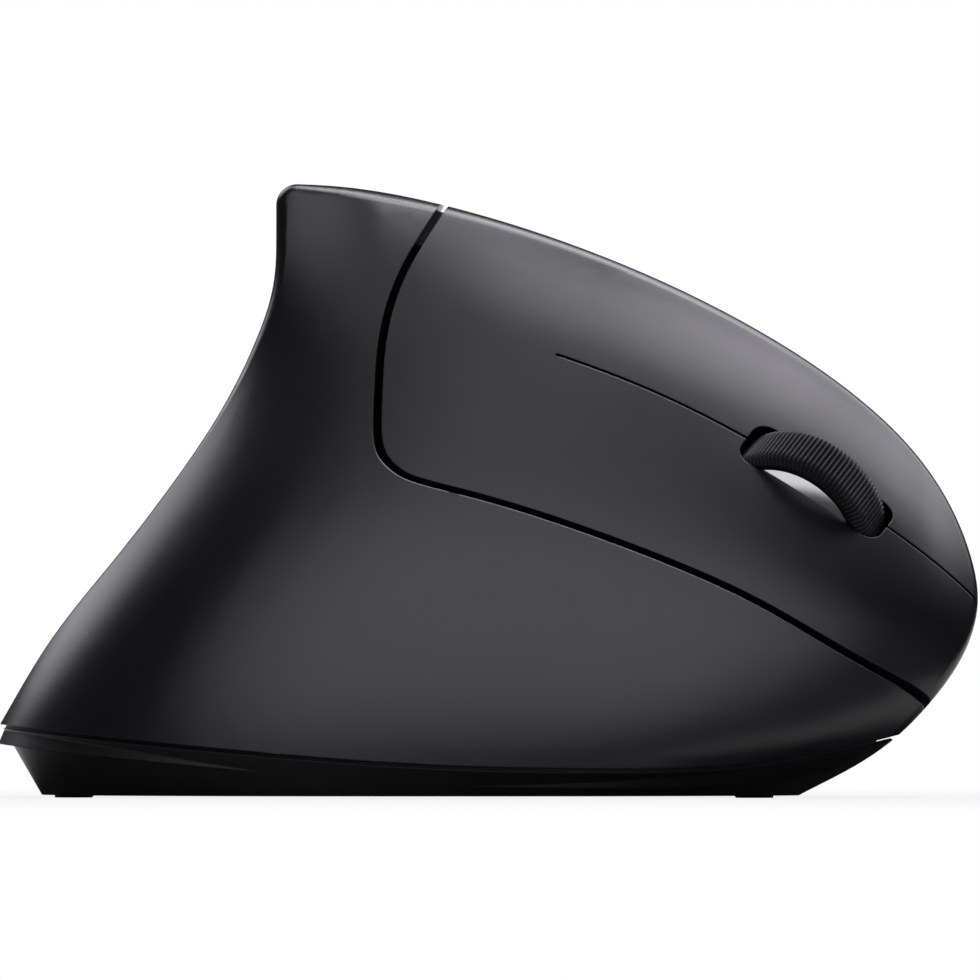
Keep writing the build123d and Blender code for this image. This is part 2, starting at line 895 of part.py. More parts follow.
# button board
def finger_switch(side):
    top = -board_top + switch_height
    low = top - pin_root - pin_travel
    x = -switch_centre + plunger_shift
    case = block_at(-switch_centre, switch_y(side), switch_length, switch_width, -board_top, top)
    well = block_at(x, switch_y(side), plunger_length + 2 * pin_gap, plunger_width + 2 * pin_gap, low, top)
    return at_finger(largest(case - well))


def finger_plunger(side):
    x = -switch_centre + plunger_shift
    low = -board_top + switch_height
    top = low + plunger_height
    return at_finger(block_at(x, switch_y(side), plunger_length, plunger_width, low - pin_root, top))


def button_board():
    low = -board_top - board_thickness
    rear = block(-board_back, board_step, -board_low, board_high, low, -board_top)
    nose = block(0, board_front, -board_nose_half, board_nose_half, low, -board_top)
    board = largest(rear + nose)
    depth = board_top - wheel_depth - side_gap
    half = math.sqrt(wheel_radius**2 - depth**2) + side_gap
    board = board - block(-half, half, -arm_inner, arm_inner, low, -board_top)
    for x, y in board_posts():
        board = board - rod(screw_radius + screw_clearance, (x, y, low), (x, y, -board_top))
    return at_finger(largest(board))


def button_board_screws():
    under = -board_top - board_thickness
    return Compound([at_finger(screw(x, y, under, under + screw_length)) for x, y in board_posts()])


def header(x, y, z, up):
    low, top = sorted((z, z + up * header_height))
    return block_at(x, y, header_length, header_width, low, top)


# base
def seam_height(y):
    points = side_points(seam_shares)
    return smooth(y, [p[0] for p in points], [p[1] for p in points])


def seam_point(angle, inset):
    low, high = loop_levels[0], seam_top_share
    for _ in range(seam_tries):
        middle = (low + high) / 2
        p = body_point(angle, middle, inset)
        if p.Z < seam_height(p.Y):
            low = middle
        else:
            high = middle
    return body_point(angle, (low + high) / 2, inset)


def base_point(angle, inset):
    rear, front, rear_mid, front_mid, finger, thumb, rear_full, front_full = base_shares
    along, across = round_the_loop(angle, rear_full, front_full)
    y_rear = rear * body_length + inset
    y_front = front * body_length - inset
    half = (finger if across > 0 else thumb) * body_width - inset
    mid = (rear_mid + (front_mid - rear_mid) * along) * body_width
    return Vector(mid + across * half, y_rear + (y_front - y_rear) * along, foot_drop)


def base_hull(inset):
    def top_point(angle):
        foot = base_point(angle, inset)
        edge = seam_point(angle, inset + skirt_inset)
        return foot + (edge - foot) * ((hull_top - foot_drop) / (edge.Z - foot_drop))

    return Solid.make_loft([loop_wire(lambda a: base_point(a, inset)), loop_wire(top_point)], ruled=True)


floor_top = foot_drop + floor_thickness
bay_half = battery_pitch / 2 + battery_radius + bay_clearance
bay_front = bay_rear + battery_length + spring_room + 2 * contact_thickness
battery_z = floor_top + battery_radius
bay_top = battery_z + battery_radius + bay_clearance


def base_lip():
    ring = (inside_lip & under_seam(lip_height)) - inside_frame
    return largest(largest(ring) - under_seam(-seam_gap - lip_root))


# The tongue fills the seam behind the skin, but for the room under the middle button.
def seam_tongue():
    ring = (inside_tongue & under_seam(0)) - inside_frame
    ring = largest(ring) - under_seam(-seam_gap - lip_root)
    return largest(largest(ring) - panel_prism(frame_margin, -panel_depth - frame_margin))


def skirt_and_floor():
    hull = largest(base_hull(0) & crown_prism(0))
    hull = largest(hull & under_seam(-seam_gap))
    hollow = largest(base_hull(skirt_wall) & crown_prism(skirt_wall))
    reach = body_length
    hollow = hollow - block(-reach, reach, -reach, reach, -reach, floor_top)
    return largest(hull - hollow)


def battery_bay():
    outer = block(
        -bay_half - bay_wall, bay_half + bay_wall, bay_rear - bay_wall, bay_front + bay_wall,
        floor_top - floor_thickness / 2, bay_top + bay_roof,
    )
    return outer - block(-bay_half, bay_half, bay_rear, bay_front, 0, bay_top)


def receiver_sleeve():
    half_x = receiver_thickness / 2 + receiver_gap
    half_y = receiver_width / 2 + receiver_gap
    top = foot_drop + receiver_recess + receiver_length + receiver_gap
    length = 2 * (half_x + receiver_wall)
    width = 2 * (half_y + receiver_wall)
    low = foot_drop + floor_thickness / 2
    return block_at(receiver_x, receiver_y, length, width, low, top + receiver_wall)


def receiver_hole():
    half_x = receiver_thickness / 2 + receiver_gap
    half_y = receiver_width / 2 + receiver_gap
    top = foot_drop + receiver_recess + receiver_length + receiver_gap
    return block_at(receiver_x, receiver_y, 2 * half_x, 2 * half_y, 0, top)


def boss_places():
    return [(-boss_x, boss_rear_y), (boss_x, boss_rear_y), (0, boss_front_y)]


def foot_solid(length, y):
    pad = stadium(length, foot_width, 0, foot_drop + foot_pocket)
    return pad.moved(Location((0, y, 0)))


def knob_slot():
    width = knob_length + knob_travel + 2 * knob_gap
    return block_at(power_x, power_y, knob_width + 2 * knob_gap, width, 0, floor_top)


def base_shell():
    base = largest(skirt_and_floor() + seam_tongue())
    base = largest(base + base_lip())
    base = largest(base + battery_bay() + receiver_sleeve())
    for x, y in boss_places():
        base = base + rod(boss_radius, (x, y, foot_drop + floor_thickness / 2), (x, y, main_board_bottom))
    door_x = bay_half + door_ledge + door_gap
    base = base - block(
        -door_x, door_x, bay_rear - door_ledge - door_gap, bay_front + door_ledge + door_gap, 0, floor_top
    )
    base = base - receiver_hole() - knob_slot()
    base = base - block_at(0, sensor_y, sensor_window_x, sensor_window_y, 0, floor_top)
    base = base - foot_solid(foot_front_length, foot_front_y) - foot_solid(foot_rear_length, foot_rear_y)
    for x, y in boss_places():
        base = base - rod(screw_radius + screw_clearance, (x, y, floor_top), (x, y, main_board_bottom))
    return largest(base)


def battery_door():
    half = bay_half + door_ledge
    door = block(-half, half, bay_rear - door_ledge, bay_front + door_ledge, foot_drop, floor_top)
    for k in range(door_grip_count):
        y = bay_front - (k + 1) * door_grip_pitch
        door = door - block_at(0, y, battery_pitch, door_grip_width, foot_drop, foot_drop + door_grip)
    return largest(door)


def battery(side):
    x = side * battery_pitch / 2
    if side < 0:
        nub_end = bay_front - contact_thickness
        cell = nub_end - battery_nub_length
        flat_end = nub_end - battery_length
    else:
        nub_end = bay_rear + contact_thickness
        cell = nub_end + battery_nub_length
        flat_end = nub_end + battery_length
    can = rod(battery_radius, (x, flat_end, battery_z), (x, cell, battery_z))
    can = can.fillet(contact_thickness, can.edges())
    nub = rod(battery_nub_radius, (x, cell, battery_z), (x, nub_end, battery_z))
    return largest(can + nub)


def battery_contacts():
    low = battery_z - contact_height / 2
    top = battery_z + contact_height / 2
    plates = []
    for x in (-battery_pitch / 2, battery_pitch / 2):
        for y in (bay_rear + contact_thickness / 2, bay_front - contact_thickness / 2):
            plates.append(block_at(x, y, contact_width, contact_thickness, low, top))
    return Compound(plates)


def battery_spring(side):
    x = side * battery_pitch / 2
    y0 = bay_rear + contact_thickness if side < 0 else bay_front - contact_thickness - spring_room
    step = spring_room / spring_turns
    coil = None
    for k in range(spring_turns):
        plane = Plane(origin=(x, y0 + (k + 0.5) * step, battery_z), z_dir=(0, 1, 0))
        ring = Solid.make_torus(spring_radius, step / 2 + spring_wire / 4, plane)
        coil = ring if coil is None else coil + ring
    far = battery_length
    return largest(coil & block(x - far, x + far, y0, y0 + spring_room, 0, far))


def usb_receiver():
    low = foot_drop + receiver_recess
    neck = low + receiver_head
    head = rounded_block(receiver_thickness, receiver_width, low, neck, receiver_rounding)
    plug = block_at(0, 0, receiver_plug_thickness, receiver_plug_width, neck, low + receiver_length)
    return largest(head + plug).moved(Location((receiver_x, receiver_y, 0)))


# main board
board_upper = main_board_bottom + main_board_thickness


def main_board():
    length = 2 * main_board_half
    width = main_board_front - main_board_rear
    board = rounded_block(length, width, main_board_bottom, board_upper, board_corner)
    board = board.moved(Location((0, (main_board_rear + main_board_front) / 2, 0)))
    for x, y in boss_places():
        board = board - rod(screw_radius + screw_clearance, (x, y, main_board_bottom), (x, y, board_upper))
    return largest(board)


def main_board_screws():
    return Compound([screw(x, y, board_upper, board_upper - screw_length) for x, y in boss_places()])


def sensor_lens():
    plate = block_at(0, sensor_y, lens_x, lens_y, floor_top, floor_top + lens_plate)
    dome = rod(lens_dome_radius, (0, sensor_y, floor_top - lens_dome_drop), (0, sensor_y, floor_top))
    top = main_board_bottom - sensor_height
    neck = rod(lens_dome_radius, (0, sensor_y, floor_top), (0, sensor_y, top))
    return largest(plate + dome + neck)


def sensor_chip():
    low = main_board_bottom - sensor_height
    return block_at(0, sensor_y, sensor_x, sensor_length, low, main_board_bottom)


def sensor_led():
    y = sensor_y + led_shift
    low = main_board_bottom - led_height
    case = rod(led_radius, (0, y, low), (0, y, main_board_bottom))
    edge = [e for e in case.edges() if e.center().Z < low + led_radius / 2]
    return case.fillet(led_radius / 2, edge)


def control_chip():
    return block_at(0, chip_y, chip_size, chip_size, board_upper, board_upper + chip_height)


def crystal():
    x = main_board_half / 2 + chip_size / 4
    top = board_upper + crystal_height
    return block_at(x, chip_y, crystal_width, crystal_length, board_upper, top)


def main_header():
    return header(0, header_y, board_upper, 1)


def button_header():
    x = -board_back + header_length / 2
    return at_finger(header(x, 0, -board_top - board_thickness, -1))


def board_wires():
    x = -board_back + header_length / 2
    wires = []
    for k in range(wire_count):
        shift = (k - (wire_count - 1) / 2) * wire_pitch
        top = finger_plane.from_local_coords(
            Vector(x + shift, 0, -board_top - board_thickness - header_height)
        )
        low = Vector(shift, header_y, board_upper + header_height)
        line = Edge.make_spline([low, top], tangents=[Vector(0, 0, 1), finger_plane.z_dir])
        circle = Wire.make_circle(wire_radius, Plane(origin=low, z_dir=(0, 0, 1)))
        wires.append(Solid.sweep(Face(circle), line))
    return Compound(wires)


def power_switch():
    low = main_board_bottom - power_height
    return block_at(power_x, power_y, power_width, power_length, low, main_board_bottom)


def power_slider():
    low = foot_drop + knob_recess
    top = main_board_bottom - power_height
    return block_at(power_x, power_y - knob_travel / 2, knob_width, knob_length, low, top)


# every piece by its name
def pieces():
    index_button, middle_button = finger_buttons()
    return {
        "base_shell": base_shell(),
        "palm_shell": palm_shell(),
        "thumb_shell": thumb_shell(),
        "button_plate": button_plate(),
        "index_button": index_button,
        "middle_button": middle_button,
        "button_frame": button_frame(),
        "wheel_tyre": wheel_tyre(),
        "wheel_hub": wheel_hub(),
        "wheel_disc_lower": wheel_disc(-1),
        "wheel_disc_upper": wheel_disc(1),
        "wheel_axle": wheel_axle(),
        "wheel_carrier": wheel_carrier(),
        "scroll_encoder": scroll_encoder(),
        "pivot_bearings": Compound([pivot_bearing(-1), pivot_bearing(1)]),
        "wheel_switch": wheel_switch(),
        "wheel_plunger": wheel_plunger(),
        "index_switch": finger_switch(1),
        "middle_switch": finger_switch(-1),
        "index_plunger": finger_plunger(1),
        "middle_plunger": finger_plunger(-1),
        "button_board": button_board(),
        "button_board_screws": button_board_screws(),
        "button_header": button_header(),
        "back_button": thumb_button(-1),
        "forward_button": thumb_button(1),
        "thumb_board": thumb_board(),
        "back_switch": thumb_switch(-1),
        "forward_switch": thumb_switch(1),
        "thumb_board_screws": thumb_screws(),
        "battery_door": battery_door(),
        "battery_left": battery(-1),
        "battery_right": battery(1),
        "battery_contacts": battery_contacts(),
        "battery_springs": Compound([battery_spring(-1), battery_spring(1)]),
        "usb_receiver": usb_receiver(),
        "main_board": main_board(),
        "main_board_screws": main_board_screws(),
        "sensor_lens": sensor_lens(),
        "sensor_chip": sensor_chip(),
        "sensor_led": sensor_led(),
        "control_chip": control_chip(),
        "crystal": crystal(),
        "main_header": main_header(),
        "board_wires": board_wires(),
        "power_switch": power_switch(),
        "power_slider": power_slider(),
        "glide_foot_front": foot_solid(foot_front_length, foot_front_y),
        "glide_foot_rear": foot_solid(foot_rear_length, foot_rear_y),
    }


for name, shape in pieces().items():
    export_step(shape, os.path.join("parts", name + ".step"))
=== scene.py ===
import json
import math
import bpy
from mathutils import Matrix, Vector


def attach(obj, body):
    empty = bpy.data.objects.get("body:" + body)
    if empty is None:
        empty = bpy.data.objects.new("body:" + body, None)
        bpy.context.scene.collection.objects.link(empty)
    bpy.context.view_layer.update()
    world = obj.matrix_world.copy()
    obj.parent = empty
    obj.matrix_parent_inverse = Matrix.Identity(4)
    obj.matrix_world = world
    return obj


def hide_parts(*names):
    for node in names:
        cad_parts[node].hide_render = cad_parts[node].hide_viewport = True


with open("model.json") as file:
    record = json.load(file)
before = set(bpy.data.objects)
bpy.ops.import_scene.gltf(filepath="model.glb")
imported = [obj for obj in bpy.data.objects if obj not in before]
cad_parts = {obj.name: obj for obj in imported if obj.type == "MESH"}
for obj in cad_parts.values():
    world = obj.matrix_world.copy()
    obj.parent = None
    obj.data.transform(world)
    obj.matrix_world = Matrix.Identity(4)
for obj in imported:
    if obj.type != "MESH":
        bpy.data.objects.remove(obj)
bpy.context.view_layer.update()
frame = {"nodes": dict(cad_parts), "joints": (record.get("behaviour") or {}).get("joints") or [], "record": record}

# Lengths are in metres, in the part's own frame: +X the finger side, +Y the front, +Z up.
MILLIMETRE = 0.001

# The photograph's frame: its size, its middle and the floor's row in pixels, and its scale.
PHOTO_SIZE = 980
PHOTO_CENTRE = 490
FLOOR_ROW = 797
PIXELS_PER_MILLIMETRE = 8.117

# The camera is far away, because the photograph shows next to no perspective.
CAMERA_DISTANCE = 5.0
SENSOR_WIDTH = 36.0

# The wheel's tyre.
TYRE_RIBS = 112
STEPS_PER_RIB = 8
TYRE_RADIUS = 10.6 * MILLIMETRE
TYRE_DEPTH = 2.8 * MILLIMETRE
TYRE_WIDTH = 6.8 * MILLIMETRE
TYRE_ROUNDING = 1.3 * MILLIMETRE
RIB_HEIGHT = 0.34 * MILLIMETRE
PROFILE_STEPS = 48
ROUNDING_POINTS = 6

# The wheel's discs are dished: how fast their faces fall away from the middle, per metre.
DISC_DISH = 34.0

# Colours, as linear red, green and blue.
SHELL_BLACK = (0.0060, 0.0058, 0.0085, 1)
BASE_BLACK = (0.0055, 0.0055, 0.0065, 1)
INNER_BLACK = (0.002, 0.002, 0.002, 1)
RUBBER_BLACK = (0.005, 0.005, 0.006, 1)
THUMB_BLACK = (0.014, 0.014, 0.015, 1)
HUB_BLACK = (0.020, 0.020, 0.020, 1)
CASE_BLACK = (0.018, 0.018, 0.018, 1)
PALE_PLASTIC = (0.70, 0.69, 0.64, 1)
ENCODER_GREEN = (0.03, 0.20, 0.08, 1)
BOARD_GREEN = (0.010, 0.085, 0.035, 1)
BOARD_TRACK = (0.020, 0.150, 0.060, 1)
BRIGHT_METAL = (0.80, 0.80, 0.82, 1)
STEEL_GREY = (0.56, 0.56, 0.57, 1)
JACKET_GREY = (0.10, 0.11, 0.13, 1)
WIRE_RED = (0.30, 0.02, 0.015, 1)
LENS_CLEAR = (0.93, 0.95, 0.97, 1)
LAMP_CLEAR = (0.95, 0.62, 0.60, 1)
GLIDE_BLACK = (0.020, 0.020, 0.021, 1)
FLOOR_WHITE = (0.92, 0.92, 0.92, 1)
PURE_WHITE = (1, 1, 1, 1)
ROOM_WHITE = (1.0, 0.98, 1.06, 1)

# Broad, faint changes of colour: waves per metre, darkest and lightest share of the colour.
SHELL_MOTTLE = (55.0, 0.92, 1.08)
PLASTIC_MOTTLE = (90.0, 0.9, 1.1)
RUBBER_MOTTLE = (300.0, 0.85, 1.15)
METAL_MOTTLE = (180.0, 0.94, 1.04)
DISC_MOTTLE = (400.0, 0.96, 1.02)
RESIN_SHARES = (0.97, 1.0)
TRACK_SHARE = 1.15

# Fine relief: waves per metre, depth and strength. The plastics' depth differs from piece to piece.
SHELL_GRAIN = (4200.0, 0.02 * MILLIMETRE, 0.35)
SHELL_SPECK = (9000.0, 0.008 * MILLIMETRE, 0.3)
RUBBER_GRAIN = (7000.0, 0.01 * MILLIMETRE, 0.3)
METAL_BRUSH = (1500.0, 0.003 * MILLIMETRE, 0.25)
BOARD_WEAVE = (2500.0, 0.005 * MILLIMETRE, 0.2)
RESIN_HAZE = (500.0, 0.002 * MILLIMETRE, 0.1)
PLASTIC_GRAIN_WAVES = 3000.0
PLASTIC_GRAIN_STRENGTH = 0.3
TRACK_DEPTH = 0.02 * MILLIMETRE
TRACK_STRENGTH = 0.3

# Roughness: the smoothest and the roughest spots, or how far they lie from a piece's own value.
SHELL_ROUGHNESS = (0.23, 0.26)
RUBBER_ROUGHNESS = (0.44, 0.52)
DISC_ROUGHNESS = (0.17, 0.21)
BOARD_ROUGHNESS = (0.26, 0.34)
RESIN_ROUGHNESS = (0.03, 0.09)
PLASTIC_ROUGHNESS_SPAN = (-0.03, 0.04)
METAL_ROUGHNESS_SPAN = (-0.04, 0.06)

# The boards' printed tracks, as a pattern of bricks.
TRACK_PATTERN = {"Scale": 260.0, "Mortar Size": 0.06, "Brick Width": 0.9, "Row Height": 0.3}
TRACK_OFFSET = 0.5

# Edges look rounded by this much; the plastics' own value differs from piece to piece.
EDGE_SOFTENING = 0.2 * MILLIMETRE
METAL_EDGE_SOFTENING = 0.05 * MILLIMETRE
EDGE_SAMPLES = 4

# The softening stays away from the line where the click plates bend: none this near, full this far.
FLEX_LINE_NEAR = 0.5 * MILLIMETRE
FLEX_LINE_FAR = 0.8 * MILLIMETRE

# The shells' shading rolls over towards the crown: how far below the crown that starts,
# how it gathers on the way up, and which way it leans.
CROWN_ROLL_HEIGHT = 16.0 * MILLIMETRE
CROWN_ROLL_CURVE = 1.8
CROWN_OUTWARD = (-0.25, 0.20, 0.94)

# The amount of the roll at the rear and at the front, and between which places it changes.
CROWN_ROLL_REAR = 0.60
CROWN_ROLL_FRONT = 0.33
CROWN_ROLL_FROM = -14.0 * MILLIMETRE
CROWN_ROLL_TO = 14.0 * MILLIMETRE

# The stretch of the crown that rolls, and the length over which that begins and ends.
CROWN_REAR = -25.0 * MILLIMETRE
CROWN_REAR_FADE = 12.0 * MILLIMETRE
CROWN_FRONT = 60.0 * MILLIMETRE
CROWN_FRONT_FADE = 10.0 * MILLIMETRE

# The crown's height is taken at this many places from rear to front.
CROWN_STATIONS = 24

# The floor: its size and surface.
FLOOR_HALF_WIDTH = 6.0
FLOOR_ROUGHNESS = 0.8
FLOOR_SPECULAR = 0.1

# An oval round the mouse, in which the floor shows the mouse's own shadow to the eye and a painted shade in
# reflections.
# Beyond it the floor goes white to the eye and bright in reflections; how far out is counted in half sizes of the
# oval.
SHADE_MIDDLE = (0.020, 0.0, 0.0)
SHADE_HALF_SIZES = (0.055, 0.062, 1.0)
SHADE_EDGE = 1.0
SHADE_WHITENESS = 0.86
PAINTED_SHADE_MIRRORED = 0.02
WHITE_FROM = 4.0
MIRRORED_FROM = 1.6
FLOOR_MIRRORED = 0.9

# The lamps, all aimed at the middle of the mouse: name, place, size and power.
MOUSE_MIDDLE = (0, 0, 0.035)
LAMPS = (
    ("top_softbox", (-0.36, 0.20, 0.72), (0.50, 0.50), 2.4),
    ("front_fill", (0.95, 0.0, 0.62), (0.40, 0.40), 0.6),
)

# The room's light on dull faces, and in reflections the dark of the room and its glows:
# direction, cosines where a glow starts and is full, and its strength.
ROOM_FILL = 0.2
ROOM_DARKNESS = 0.06
ROOM_GLOWS = (
    ((-0.30, 0.10, 0.95), 0.905, 1.0, 6.2),
    ((-0.55, 0.42, 0.72), 0.90, 1.0, 3.0),
    ((-0.60, -0.50, 0.62), 0.915, 0.985, 2.6),
    ((0.70, -0.02, 0.72), 0.73, 0.99, 1.6),
    ((0.75, 0.62, 0.20), 0.70, 0.98, 0.15),
)


# Node trees
class Nodes:
    """A node tree, with short ways to add to it."""

    def __init__(self, tree):
        self.tree = tree

    def node(self, kind, inputs=None, **settings):
        """A new node. Inputs that come from other nodes are linked, and the others are set."""
        made = self.tree.nodes.new(kind)
        for key, value in settings.items():
            setattr(made, key, value)
        for key, value in (inputs or {}).items():
            if isinstance(value, bpy.types.NodeSocket):
                self.tree.links.new(value, made.inputs[key])
            else:
                made.inputs[key].default_value = value
        return made

    def arithmetic(self, operation, first, second=0.0):
        return self.node("ShaderNodeMath", {0: first, 1: second}, operation=operation).outputs[0]

    def vectors(self, operation, *values, result="Vector"):
        made = self.node("ShaderNodeVectorMath", dict(enumerate(values)), operation=operation)
        return made.outputs[result]

    def scaled(self, vector, amount):
        made = self.node("ShaderNodeVectorMath", {0: vector, "Scale": amount}, operation="SCALE")
        return made.outputs["Vector"]

    def spread(self, source, low, high, near=0.3, far=0.7, interpolation="LINEAR"):
        """Low up to near, high from far on, and a steady or smooth change between the two."""
        limits = {"From Min": near, "From Max": far, "To Min": low, "To Max": high}
        made = self.node(
            "ShaderNodeMapRange", {"Value": source, **limits}, interpolation_type=interpolation
        )
        return made.outputs["Result"]

    def blend(self, share, first, second):
        return self.node("ShaderNodeMixShader", {"Fac": share, 1: first, 2: second}).outputs[0]

    def glow(self, strength, kind="ShaderNodeEmission", colour=PURE_WHITE):
        return self.node(kind, {"Color": colour, "Strength": strength}).outputs[0]


class Finish(Nodes):
    """One procedural material: a Principled shader and the nodes that feed it."""

    def __init__(self, name, **constants):
        self.material = bpy.data.materials.new(name)
        self.material.use_nodes = True
        super().__init__(self.material.node_tree)
        self.shader = self.tree.nodes["Principled BSDF"]
        for socket, value in constants.items():
            self.shader.inputs[socket.replace("_", " ")].default_value = value
        self.place = self.node("ShaderNodeTexCoord").outputs["Object"]

    def feed(self, source, socket):
        self.tree.links.new(source, self.shader.inputs[socket])

    def noise(self, waves, detail=2.0, stretch=None):
        place = self.place
        if stretch:
            mapping = self.node("ShaderNodeMapping", {"Vector": place, "Scale": stretch})
            place = mapping.outputs["Vector"]
        texture = self.node("ShaderNodeTexNoise", {"Vector": place, "Scale": waves, "Detail": detail})
        return texture.outputs["Fac"]

    def grain(self, waves, depth, strength, detail=2.0, stretch=None):
        """A layer of noise for bumps()."""
        return self.noise(waves, detail, stretch), depth, strength

    def colours(self, source, dark, light):
        mix = self.node("ShaderNodeMix", {"Factor": source, "A": dark, "B": light}, data_type="RGBA")
        self.feed(mix.outputs["Result"], "Base Color")

    def mottle(self, colour, waves, darkest, lightest):
        """A broad, faint change of colour. Its noise is given back, so that more can follow it."""
        broad = self.noise(waves)
        self.colours(self.spread(broad, 0.0, 1.0), shade(colour, darkest), shade(colour, lightest))
        return broad

    def roughness(self, source, low, high):
        self.feed(self.spread(source, low, high), "Roughness")

    def bumps(self, layers, edge=0.0, edge_share=None, lean=None):
        """Layers of height, depth and strength, on a surface with soft edges that may lean."""
        normal = None
        if edge:
            corner = self.node("ShaderNodeBevel", {"Radius": edge}, samples=EDGE_SAMPLES)
            normal = corner.outputs["Normal"]
        if edge_share:
            plain = self.node("ShaderNodeNewGeometry").outputs["Normal"]
            ends = {"Factor": edge_share, "A": plain, "B": normal}
            normal = self.node("ShaderNodeMix", ends, data_type="VECTOR").outputs["Result"]
        if lean:
            normal = self.vectors("NORMALIZE", self.vectors("ADD", normal, lean))
        for height, depth, strength in layers:
            inputs = {"Height": height, "Distance": depth, "Strength": strength}
            if normal:
                inputs["Normal"] = normal
            normal = self.node("ShaderNodeBump", inputs).outputs["Normal"]
        self.feed(normal, "Normal")


# Finishes of the pieces
def shade(colour, factor):
    return tuple(channel * factor for channel in colour[:3]) + (1,)


def joint(name):
    return next(j for j in frame["joints"] if j["name"] == name)


def soft_touch(name):
    finish = Finish(name, Specular_IOR_Level=0.5)
    broad = finish.mottle(SHELL_BLACK, *SHELL_MOTTLE)
    finish.roughness(broad, *SHELL_ROUGHNESS)
    layers = [finish.grain(*SHELL_GRAIN, detail=3.0), finish.grain(*SHELL_SPECK, detail=1.0)]
    finish.bumps(
        layers, edge=EDGE_SOFTENING, edge_share=away_from_flex_line(finish), lean=crown_roll(finish)
    )
    return finish.material


def crown_heights():
    """The height of the shells' top at even places from rear to front."""
    subparts = frame["record"]["subparts"]
    shells = [part["node"] for part in subparts if part["material_slot"] == "soft_black"]
    points = [v.co for name in shells for v in frame["nodes"][name].data.vertices]
    rear = min(p.y for p in points)
    length = max(p.y for p in points) - rear
    tops = [0.0] * CROWN_STATIONS
    for point in points:
        station = min(int((point.y - rear) / length * CROWN_STATIONS), CROWN_STATIONS - 1)
        tops[station] = max(tops[station], point.z)
    return rear, length, tops


def crown_roll(finish):
    """A lean of the surface towards the crown's outward side, full at the crown and nought below it."""
    rear, length, tops = crown_heights()
    tallest = max(tops)
    place = finish.node("ShaderNodeSeparateXYZ", {"Vector": finish.place}).outputs
    share = finish.spread(place["Y"], 0.0, 1.0, near=rear, far=rear + length)
    curve = finish.node("ShaderNodeFloatCurve", {"Value": share})
    line = curve.mapping.curves[0]
    for station, top in enumerate(tops):
        line.points.new((station + 0.5) / CROWN_STATIONS, top / tallest)
    curve.mapping.update()
    crown = finish.arithmetic("MULTIPLY", curve.outputs["Value"], tallest)
    below = finish.arithmetic("SUBTRACT", crown, place["Z"])
    nearness = finish.spread(below, 1.0, 0.0, near=0.0, far=CROWN_ROLL_HEIGHT)
    gathered = finish.arithmetic("POWER", nearness, CROWN_ROLL_CURVE)
    begins = finish.spread(place["Y"], 0.0, 1.0, near=CROWN_REAR, far=CROWN_REAR + CROWN_REAR_FADE)
    ends = finish.spread(place["Y"], 1.0, 0.0, near=CROWN_FRONT - CROWN_FRONT_FADE, far=CROWN_FRONT)
    between = finish.arithmetic("MULTIPLY", begins, ends)
    full = finish.spread(
        place["Y"], CROWN_ROLL_REAR, CROWN_ROLL_FRONT, near=CROWN_ROLL_FROM, far=CROWN_ROLL_TO
    )
    amount = finish.arithmetic("MULTIPLY", finish.arithmetic("MULTIPLY", gathered, between), full)
    return finish.scaled(CROWN_OUTWARD, amount)


def along_finger_panel():
    across = Vector(joint("index_click")["axis"]).normalized()
    out = -Vector(joint("index_pin_press")["axis"]).normalized()
    return across.cross(out)


def away_from_flex_line(finish):
    """Nought where the click plates bend out of their root plate, one elsewhere."""
    along = along_finger_panel()
    root = Vector(joint("index_click")["pos_m"])
    ahead = finish.vectors("DOT_PRODUCT", finish.place, along, result="Value")
    distance = finish.arithmetic("ABSOLUTE", finish.arithmetic("SUBTRACT", ahead, root.dot(along)))
    return finish.spread(distance, 0.0, 1.0, near=FLEX_LINE_NEAR, far=FLEX_LINE_FAR)


def satin_plastic(name, colour, rough, depth=0.012, edge=0.15, specular=0.5):
    """Plastic with a fine grain; depth and edge are in millimetres."""
    finish = Finish(name, Specular_IOR_Level=specular)
    broad = finish.mottle(colour, *PLASTIC_MOTTLE)
    finish.roughness(broad, *(rough + span for span in PLASTIC_ROUGHNESS_SPAN))
    grain = finish.grain(PLASTIC_GRAIN_WAVES, depth * MILLIMETRE, PLASTIC_GRAIN_STRENGTH)
    finish.bumps([grain], edge=edge * MILLIMETRE)
    return finish.material


def tyre_rubber(name):
    finish = Finish(name, Specular_IOR_Level=0.22)
    broad = finish.mottle(RUBBER_BLACK, *RUBBER_MOTTLE)
    finish.roughness(broad, *RUBBER_ROUGHNESS)
    finish.bumps([finish.grain(*RUBBER_GRAIN)])
    return finish.material


def brushed_metal(name, colour, rough, stretch):
    finish = Finish(name, Metallic=1.0)
    finish.mottle(colour, *METAL_MOTTLE)
    brush = finish.grain(*METAL_BRUSH, stretch=stretch)
    finish.roughness(brush[0], *(rough + span for span in METAL_ROUGHNESS_SPAN))
    finish.bumps([brush], edge=METAL_EDGE_SOFTENING)
    return finish.material


def dished_metal(name, colour):
    """Polished discs whose faces fall away from the wheel's middle."""
    finish = Finish(name, Metallic=0.9)
    spin = joint("wheel_spin")
    arm = finish.vectors("SUBTRACT", finish.place, spin["pos_m"])
    turned = finish.vectors("CROSS_PRODUCT", arm, Vector(spin["axis"]).normalized())
    square = finish.vectors("DOT_PRODUCT", turned, turned, result="Value")
    fall = finish.arithmetic("MULTIPLY", square, -DISC_DISH)
    broad = finish.mottle(colour, *DISC_MOTTLE)
    finish.roughness(broad, *DISC_ROUGHNESS)
    finish.bumps([(fall, 1.0, 1.0)])
    return finish.material


